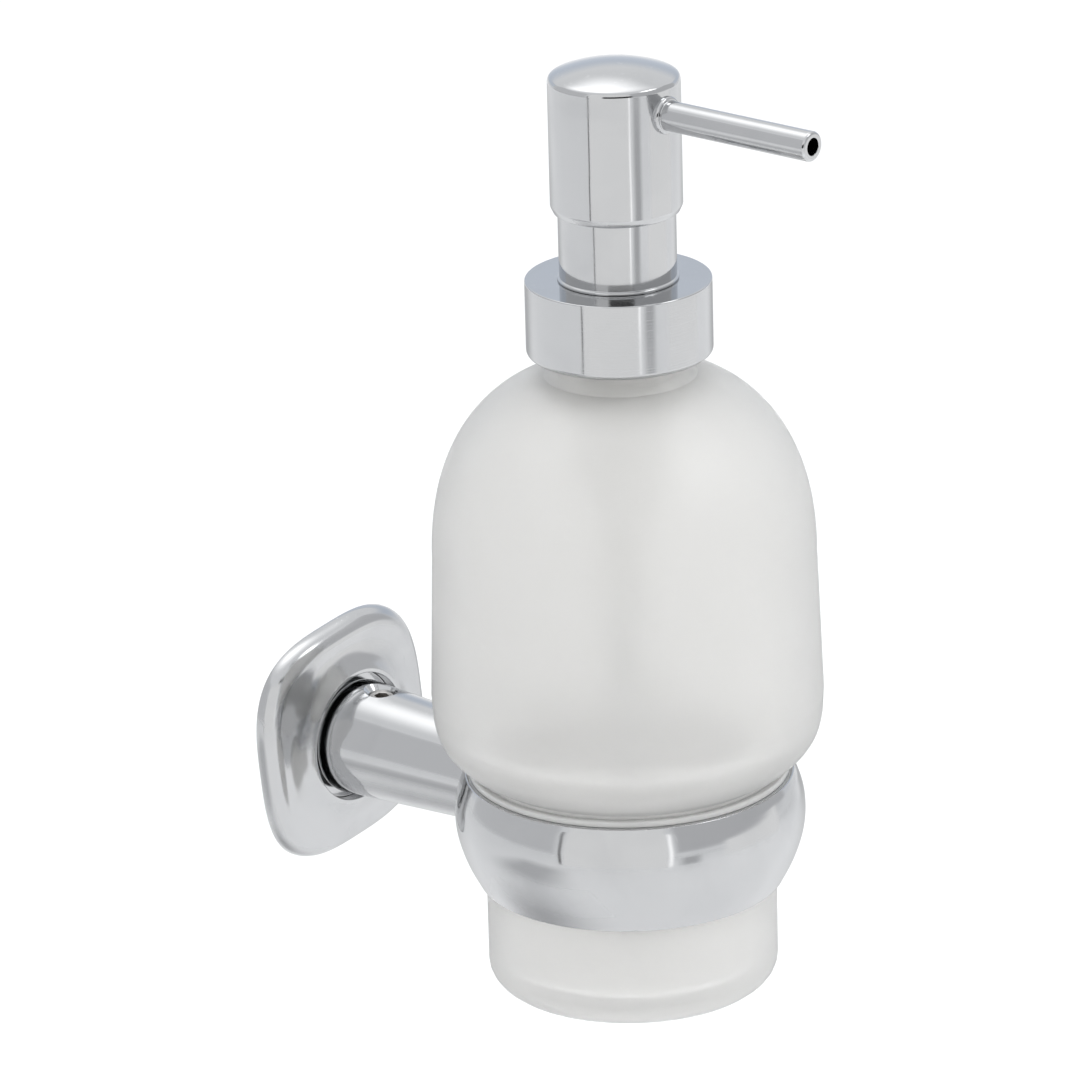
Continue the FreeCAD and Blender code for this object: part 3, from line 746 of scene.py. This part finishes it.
# %% Zinc and stainless steel
def plain_metal(name, bright, dull, rough_low, rough_high):
    material, tree, shader, where = new_finish(name, Metallic=1.0)
    wiped = use(tree, WIPE, Vector=where, Scale=240.0)["Mask"]
    grain = use(tree, GRAIN, Vector=where, Scale=2200.0)
    hair = use(tree, HAIR, Vector=where, Scale=420.0)["Mask"]
    worn = use(tree, EDGES, Vector=where, Scale=600.0)["Mask"]
    colour = tint(tree, wiped, bright, dull)
    colour = tint(tree, math_node(tree, "MULTIPLY", worn, 0.6), colour, (0.75, 0.75, 0.74, 1))
    tree.links.new(colour, shader.inputs["Base Color"])
    rough = math_node(tree, "ADD", spread(tree, grain["Tone"], 0.0, 1.0, rough_low, rough_high),
                      math_node(tree, "MULTIPLY", hair, 0.12))
    tree.links.new(rough, shader.inputs["Roughness"])
    tree.links.new(relief(tree, grain["Height"], 0.000006), shader.inputs["Normal"])
    return material


ZINC = plain_metal("zinc_plated", (0.60, 0.63, 0.66, 1), (0.45, 0.48, 0.52, 1), 0.30, 0.46)
STAINLESS = plain_metal("stainless", (0.60, 0.58, 0.56, 1), (0.50, 0.49, 0.47, 1), 0.20, 0.32)
print("metal finishes", ZINC.name, STAINLESS.name)

# %% [markdown]
# ## Plastics and rubber
# Moulded parts copy the mould's skin: a very fine grain, slight changes of gloss where the melt
# flowed, and paler edges where it was handled. The gasket is rubber, so it is darker and matt.


# %% Plastics
def moulded(name, plain, flow, rough_low, rough_high, grain_depth, **fixed):
    material, tree, shader, where = new_finish(name, Metallic=0.0, **fixed)
    grain = use(tree, GRAIN, Vector=where, Scale=1800.0)
    wiped = use(tree, WIPE, Vector=where, Scale=160.0)["Mask"]
    worn = use(tree, EDGES, Vector=where, Scale=500.0)["Mask"]
    colour = tint(tree, grain["Tone"], plain, flow)
    paler = tuple(min(1.0, c * 1.12) for c in plain[:3]) + (1,)
    colour = tint(tree, math_node(tree, "MULTIPLY", worn, 0.4), colour, paler)
    tree.links.new(colour, shader.inputs["Base Color"])
    tree.links.new(spread(tree, wiped, 0.0, 1.0, rough_low, rough_high), shader.inputs["Roughness"])
    tree.links.new(relief(tree, grain["Height"], grain_depth), shader.inputs["Normal"])
    return material


CLEAR = moulded("clear_plastic", (0.97, 0.97, 0.955, 1), (0.94, 0.942, 0.93, 1), 0.38, 0.48, 0.000006,
                Transmission_Weight=0.45, IOR=1.49)
WHITE = moulded("white_plastic", (0.80, 0.80, 0.78, 1), (0.76, 0.76, 0.74, 1), 0.30, 0.42, 0.00001)
GREY = moulded("grey_plastic", (0.32, 0.33, 0.34, 1), (0.28, 0.29, 0.30, 1), 0.34, 0.48, 0.00001)
TUBE = moulded("tube_plastic", (0.84, 0.85, 0.85, 1), (0.78, 0.80, 0.80, 1), 0.22, 0.34, 0.000008,
               Transmission_Weight=0.45, IOR=1.50)
RUBBER = moulded("rubber", (0.045, 0.045, 0.047, 1), (0.065, 0.065, 0.066, 1), 0.60, 0.78, 0.00002)
print("moulded finishes", [m.name for m in (CLEAR, WHITE, GREY, TUBE, RUBBER)])

# %% [markdown]
# ## Who wears what
# The new pieces get their finishes by name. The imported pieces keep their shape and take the
# finish that belongs to their material slot.

# %% Give out the finishes
worn_by = {CHROME_POLISHED: [ring, sleeve, head, spout], CHROME_TURNED: [collar],
           CHROME_PRESSED: [rosette], CLEAR: [liner], STAINLESS: [spring]}
for finish, pieces in worn_by.items():
    for piece in pieces:
        piece.data.materials.append(finish)

by_slot = {"chrome": CHROME_POLISHED, "frosted_glass": FROSTED, "zinc_plated": ZINC,
           "stainless": STAINLESS, "clear_plastic": CLEAR, "white_plastic": WHITE,
           "grey_plastic": GREY, "tube_plastic": TUBE, "rubber": RUBBER}
for node in nodes.values():
    for place in node.material_slots:
        place.material = by_slot[place.material.name.split(".")[0]]
new_pieces = sum(len(pieces) for pieces in worn_by.values())
print("finishes given to", len(nodes), "packed pieces, the bottle and", new_pieces, "other new ones")

# %% [markdown]
# ## Floor and camera
# A plain pale floor lies well below the dispenser, which hangs on a wall in real life. The
# camera looks down a little from the left of its front, through a long lens, so that upright
# lines stay almost parallel. The lens is on the camera's own data, and its place is a matrix.

# %% Floor
FLOOR_Z, FLOOR_HALF = -0.30, 3.0
bm = bmesh.new()
bmesh.ops.create_grid(bm, x_segments=12, y_segments=12, size=FLOOR_HALF)
floor_mesh = bpy.data.meshes.new("floor")
bm.to_mesh(floor_mesh)
bm.free()
floor = bpy.data.objects.new("floor", floor_mesh)
floor.location = (0, 0, FLOOR_Z)
scene.collection.objects.link(floor)

material, tree, shader, where = new_finish("pale_floor", Metallic=0.0, Specular_IOR_Level=0.2)
mottle = use(tree, WIPE, Vector=where, Scale=3.0)["Mask"]
pale = tint(tree, mottle, (0.95, 0.95, 0.95, 1), (0.935, 0.937, 0.94, 1))
tree.links.new(pale, shader.inputs["Base Color"])
tree.links.new(spread(tree, mottle, 0.0, 1.0, 0.70, 0.80), shader.inputs["Roughness"])
floor_mesh.materials.append(material)
print("floor at", FLOOR_Z, "m")

# %% [markdown]
# The camera's place is worked out from three angles and a distance around the bottle's axis. A
# look-at constraint would do too, but a matrix keeps the small roll of a hand levelled tripod.

# %% Camera
azimuth, elevation, roll = math.radians(-49.79), math.radians(20.2), math.radians(-1.53)
DISTANCE, AIM_RIGHT, AIM_UP, AIM_Z = 1.4229, -0.01537, 0.0033, 0.05091
FOCAL_SHARE = 7.2098
back = Vector((math.sin(azimuth) * math.cos(elevation), -math.cos(azimuth) * math.cos(elevation),
               math.sin(elevation)))
side = Vector((math.cos(azimuth), math.sin(azimuth), 0))
up = back.cross(side)
tilted_side = math.cos(roll) * side + math.sin(roll) * up
tilted_up = -math.sin(roll) * side + math.cos(roll) * up
camera_data = bpy.data.cameras.new("product_camera")
camera_data.sensor_width = 36.0
camera_data.lens = FOCAL_SHARE * camera_data.sensor_width
camera_data.clip_end = 20
camera = bpy.data.objects.new("product_camera", camera_data)
scene.collection.objects.link(camera)
stand = Matrix((tilted_side, tilted_up, back)).transposed().to_4x4()
stand.translation = back * DISTANCE + side * AIM_RIGHT + up * AIM_UP + Vector((0, AXIS_Y * MM, AIM_Z))
camera.matrix_world = stand
scene.camera = camera
print("camera lens", round(camera_data.lens, 1), "mm at", [round(v, 3) for v in stand.translation])

# %% [markdown]
# ## Studio
# Chrome shows its surroundings, so the studio matters as much as the metal. A large diffuser
# stands between the lens and the dispenser, and makes the calm light middle of every tube. Its
# left frame is a dark line, and its right edge catches the lamp as a bright one. The camera
# itself can't see these sheets. Area lights alone would give hard white squares in the chrome,
# so each sheet carries its own glow, which dissolves near the edges.


# %% Light sheets
def fade(t, soft):
    """0 at the edge of a sheet, 1 inside, with a smooth step between."""
    x = min(1.0, min(t, 1 - t) / soft)
    return x * x * (3 - 2 * x)


def light_sheet(name, surface, colour, strength, soft, steps=24):
    """A sheet that glows. surface(u, v) gives its points, with u and v from 0 to 1."""
    bm = bmesh.new()
    glow = bm.verts.layers.float.new("glow")
    grid = []
    for i in range(steps + 1):
        grid.append([bm.verts.new(surface(i / steps, j / steps)) for j in range(steps + 1)])
        for j, vert in enumerate(grid[-1]):
            vert[glow] = fade(i / steps, soft[0]) * fade(j / steps, soft[1])
    for i in range(steps):
        for j in range(steps):
            bm.faces.new((grid[i][j], grid[i + 1][j], grid[i + 1][j + 1], grid[i][j + 1]))
    mesh = bpy.data.meshes.new(name)
    bm.to_mesh(mesh)
    bm.free()
    sheet = bpy.data.objects.new(name, mesh)
    sheet.visible_camera = False
    sheet.visible_shadow = False
    scene.collection.objects.link(sheet)
    material = bpy.data.materials.new(name)
    material.use_nodes = True
    tree = material.node_tree
    tree.nodes.clear()
    shine = put(tree, "ShaderNodeEmission", {"Color": colour, "Strength": strength}).outputs[0]
    through = put(tree, "ShaderNodeBsdfTransparent").outputs[0]
    mask = put(tree, "ShaderNodeAttribute", attribute_name="glow").outputs["Fac"]
    both = put(tree, "ShaderNodeMixShader", {0: mask, 1: through, 2: shine}).outputs[0]
    put(tree, "ShaderNodeOutputMaterial", {"Surface": both})
    mesh.materials.append(material)
    return sheet


def curtain(start, end, low, high, reach):
    """A curved upright sheet. Angles are in degrees, to the right of the lens as seen by it."""
    def surface(u, v):
        turn = math.radians(start + (end - start) * u)
        out = facing * math.cos(turn) + side * math.sin(turn)
        return Vector((0, AXIS_Y * MM, low + (high - low) * v)) + out * reach
    return surface


def ceiling(centre, half_x, half_y, height):
    """A level sheet, above or below the object."""
    def surface(u, v):
        return Vector((centre[0] + half_x * (2 * u - 1), centre[1] + half_y * (2 * v - 1), height))
    return surface


facing = Vector((back.x, back.y, 0)).normalized()
WHITE_LIGHT, COOL_LIGHT, BLUE_LIGHT = (1, 1, 1, 1), (0.97, 0.98, 1, 1), (0.82, 0.89, 1, 1)
light_sheet("front_diffuser", curtain(-46, 24, -0.29, 1.0, 0.95), WHITE_LIGHT, 1.12, (0.02, 0.02))
light_sheet("diffuser_frame", curtain(-48.3, -45.4, -0.27, 0.45, 0.93), WHITE_LIGHT, 0.22,
            (0.3, 0.08), 32)
light_sheet("lamp_edge", curtain(22.0, 26.5, -0.28, 0.45, 0.93), WHITE_LIGHT, 1.75,
            (0.45, 0.08), 32)
light_sheet("grey_card", curtain(27, 47, -0.28, -0.11, 0.97), COOL_LIGHT, 0.64, (0.40, 0.22))
light_sheet("side_diffuser", curtain(58, 112, -0.29, 0.10, 0.95), WHITE_LIGHT, 1.15, (0.12, 0.20))
light_sheet("ceiling_glow", ceiling((0.30, 0.50), 0.95, 1.05, 1.5), WHITE_LIGHT, 2.5, (0.5, 0.5))

# %% [markdown]
# Past the diffusers the room is greyer. These sheets show in the chrome only, so that they don't
# take light away from the glass: they give every outline its darker edge, and the ring its grey
# patches beside the light middle. A small dark strip stands just in front of the head. It
# shows only in chrome that looks straight at it: the rim of the head and the sleeve's foot.

# %% Grey parts of the room
room_sheets = {
    "left_room": (curtain(-125, -49, -0.12, 1.0, 0.97), COOL_LIGHT, 0.82, (0.02, 0.08)),
    "right_room": (curtain(26, 125, -0.04, 1.0, 0.97), COOL_LIGHT, 0.72, (0.02, 0.10)),
    "far_room": (curtain(118, 242, -0.10, 0.95, 1.4), BLUE_LIGHT, 0.88, (0.10, 0.45)),
    "far_floor": (ceiling((0.75, 0.60), 0.80, 0.80, -0.28), COOL_LIGHT, 0.55, (0.35, 0.35)),
    "left_floor": (ceiling((-0.52, 0.22), 0.40, 0.34, -0.285), COOL_LIGHT, 0.70, (0.4, 0.4)),
    "near_floor": (ceiling((-0.05, 0.08), 0.26, 0.20, -0.275), COOL_LIGHT, 0.62, (0.5, 0.5)),
    "dark_strip": (curtain(-21, 30, 0.130, 0.165, 0.10), COOL_LIGHT, 0.02, (0.08, 0.15)),
}
for name, (surface, colour, strength, soft) in room_sheets.items():
    sheet = light_sheet(name, surface, colour, strength, soft)
    sheet.visible_diffuse = sheet.visible_transmission = False
print("sheets for reflections only", sorted(room_sheets))

# %% [markdown]
# An even, faintly blue room fills what the sheets leave open, and keeps the floor near white. The
# standard view transform is used, because a filmic one would turn the white ground grey.

# %% Room behind the sheets
world = bpy.data.worlds.new("soft_room")
world.use_nodes = True
room = world.node_tree.nodes["Background"]
room.inputs["Color"].default_value = (0.975, 0.985, 1.0, 1)
room.inputs["Strength"].default_value = 1.04
scene.world = world
scene.view_settings.view_transform = "Standard"


# %% [markdown]
# One large, weak lamp from the upper right front gives the glass a lighter side. It is as wide as
# a window, so no edge of a shadow shows.

# %% Soft key light
def soft_light(name, place, width, height, watts):
    """A large area light that looks at the object."""
    light = bpy.data.lights.new(name, "AREA")
    light.shape, light.size, light.size_y, light.energy = "RECTANGLE", width, height, watts
    lamp = bpy.data.objects.new(name, light)
    lamp.location = place
    aim = Vector((0, AXIS_Y * MM, 0.05)) - Vector(place)
    lamp.rotation_euler = aim.to_track_quat("-Z", "Y").to_euler()
    scene.collection.objects.link(lamp)
    print(name, watts, "W at", [round(v, 2) for v in lamp.location])


soft_light("key_light", (0.55, -1.1, 1.2), 0.7, 0.7, 5)
